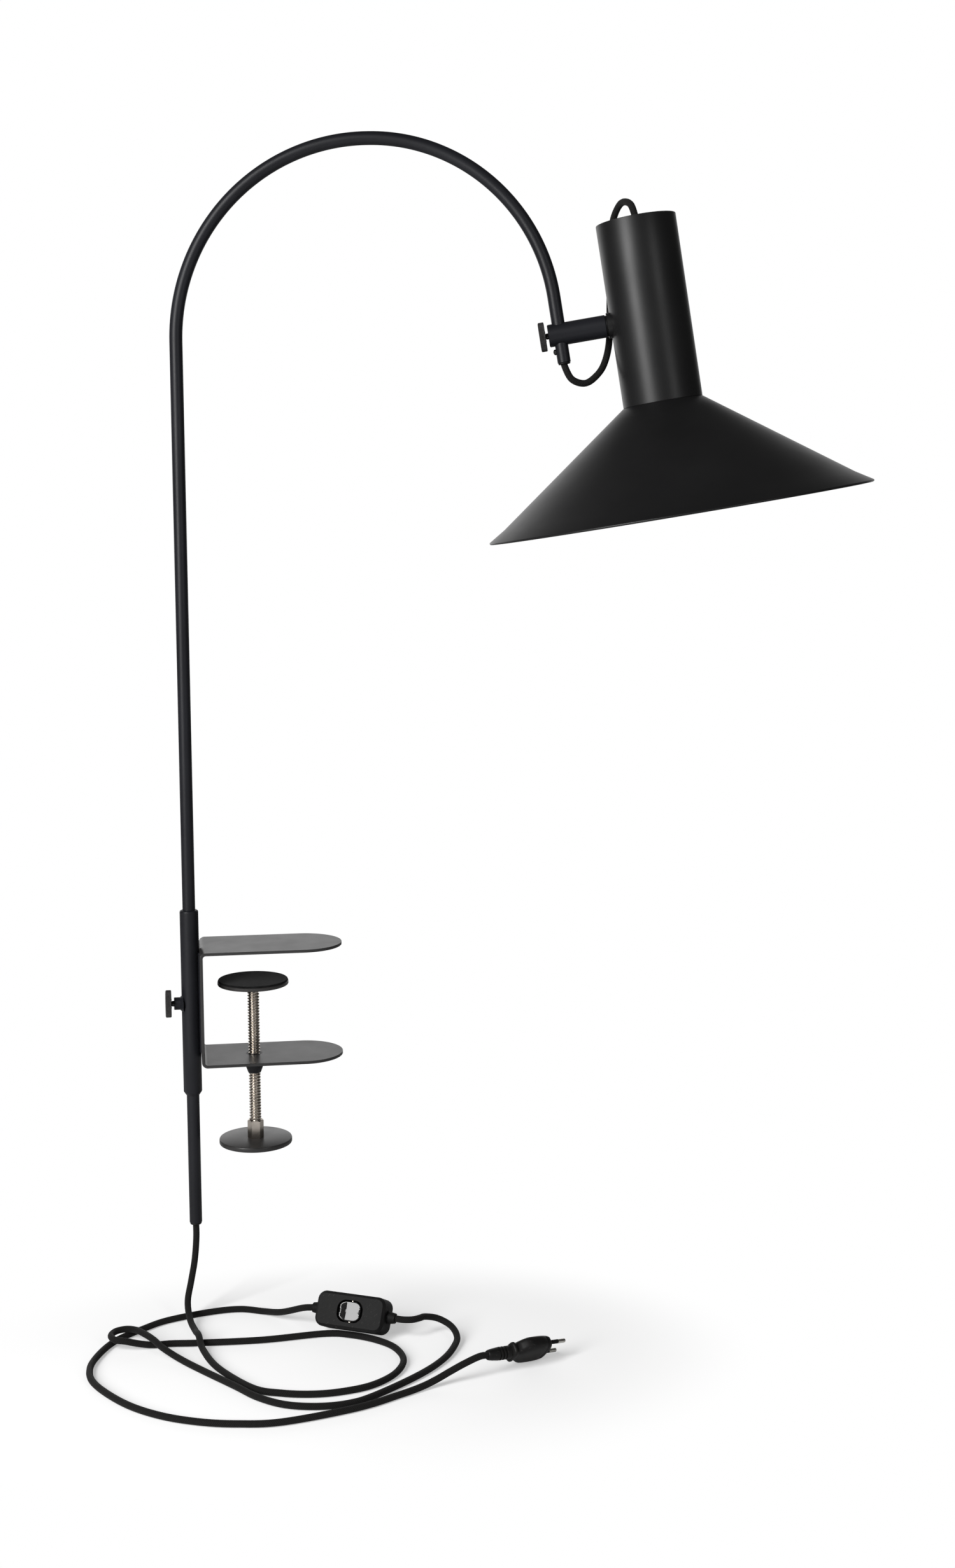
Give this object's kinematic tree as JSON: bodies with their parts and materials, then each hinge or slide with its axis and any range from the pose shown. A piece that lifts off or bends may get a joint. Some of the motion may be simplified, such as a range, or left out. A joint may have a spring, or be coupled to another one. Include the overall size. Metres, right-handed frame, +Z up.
{
  "type": "architect desk lamp",
  "caption": "Clamp-on work lamp: tall bent tube that slides and turns in a clamp sleeve, short swivel arm, cylinder shade with wide cone, corded switch and plug.",
  "frame": {"origin": "underside of the clamp's top plate, straight above the spindle axis", "axes": "+Z up along the mast and spindle, +X from the mast towards the clamp's free end, +Y to the back"},
  "size_m": [0.7698, 0.3725, 1.1838],
  "materials": {
    "powder_black": "satin",
    "plate_black": "satin",
    "shade_black": "satin",
    "bare_steel": "turned",
    "dark_steel": "oiled",
    "wheel_steel": "satin",
    "felt_black": "felt",
    "textile_black": "braided",
    "plastic_black": "fine matt",
    "rocker_gloss": "polished",
    "rubber_black": "moulded",
    "pin_metal": "plated",
    "cap_metal": "pressed",
    "opal_glass": "opal"
  },
  "bodies": {
    "clamp": {"clamp_bracket": "plate_black", "mast_sleeve": "powder_black", "sleeve_weld": "powder_black", "screw_boss": "powder_black", "spindle_bush": "powder_black", "lead_a": "textile_black", "lead_b": "textile_black", "switch_base": "plastic_black", "switch_cover": "plastic_black", "switch_screws": "bare_steel", "rocker_axle": "bare_steel", "plug_relief": "rubber_black", "plug_body": "rubber_black", "plug_pins": "pin_metal", "pin_sleeves": "plastic_black"},
    "sleeve_screw": {"sleeve_knob": "wheel_steel", "sleeve_stud": "dark_steel"},
    "pad_lift": {"pad_disc": "wheel_steel", "pad_felt": "felt_black", "pad_hub": "dark_steel"},
    "spindle": {"spindle_rod": "bare_steel", "coupling_nut": "bare_steel", "hand_wheel": "wheel_steel", "wheel_screw": "bare_steel"},
    "mast_lift": {"mast_lead": "textile_black"},
    "mast": {"mast_tube": "powder_black", "arch_lead": "textile_black", "mast_bush": "rubber_black", "cord_grip": "rubber_black", "grip_screw": "dark_steel"},
    "head_arm": {"arm_bar": "powder_black", "arm_washer": "rubber_black", "pivot_bolt": "bare_steel"},
    "head_screw": {"head_knob": "wheel_steel", "head_stud": "dark_steel"},
    "shade": {"saddle": "shade_black", "inner_saddle": "bare_steel", "shade_neck": "shade_black", "shade_cone": "shade_black", "cone_screws": "dark_steel", "top_cap": "shade_black", "lead_gland": "plastic_black", "holder_stem": "bare_steel", "holder_cup": "plastic_black", "holder_ring": "plastic_black", "bulb_cap": "cap_metal", "bulb_glass": "opal_glass", "head_lead": "textile_black"},
    "rocker": {"switch_rocker": "rocker_gloss"}
  },
  "joints": [
    {"name": "mast_height", "type": "slide", "parent": "clamp", "child": "mast_lift", "axis": [0, 0, 1], "range_m": [-0.03, 0.11], "deforming": ["lead_a"]},
    {"name": "mast_swivel", "type": "hinge", "parent": "mast_lift", "child": "mast", "pos_m": [-0.0628, 0, 0], "axis": [0, 0, 1], "range_deg": [-150, 150]},
    {"name": "sleeve_screw_turn", "type": "hinge", "parent": "clamp", "child": "sleeve_screw", "pos_m": [-0.08, 0, -0.0565], "axis": [-1, 0, 0], "range_deg": [-180, 180]},
    {"name": "pad_travel", "type": "slide", "parent": "clamp", "child": "pad_lift", "axis": [0, 0, 1], "range_m": [-0.065, 0.033]},
    {"name": "spindle_turn", "type": "hinge", "parent": "pad_lift", "child": "spindle", "pos_m": [0, 0, -0.1], "axis": [0, 0, 1], "range_deg": [-7800, 3960]},
    {"name": "arm_swivel", "type": "hinge", "parent": "mast", "child": "head_arm", "pos_m": [0.3004, -0.0772, 0.60336], "axis": [-0.1581, 0.0336, 0.9869], "range_deg": [-75, 75], "deforming": ["head_lead"]},
    {"name": "shade_tilt", "type": "hinge", "parent": "head_arm", "child": "shade", "pos_m": [0.3004, -0.0772, 0.60336], "axis": [0.9653, -0.2052, 0.1616], "range_deg": [-60, 60], "deforming": ["head_lead"]},
    {"name": "head_screw_turn", "type": "hinge", "parent": "head_arm", "child": "head_screw", "pos_m": [0.3004, -0.0772, 0.60336], "axis": [-0.9653, 0.2052, -0.1616], "range_deg": [-180, 180]},
    {"name": "rocker_tilt", "type": "hinge", "parent": "clamp", "child": "rocker", "pos_m": [0.08947, -0.07472, -0.36347], "axis": [0.2204, 0.4145, 0.8829], "range_deg": [-10, 0]}
  ],
  "couplings": [
    {"joint": "spindle_turn", "follows": "pad_travel", "rad_per_m": 2094.4}
  ]
}
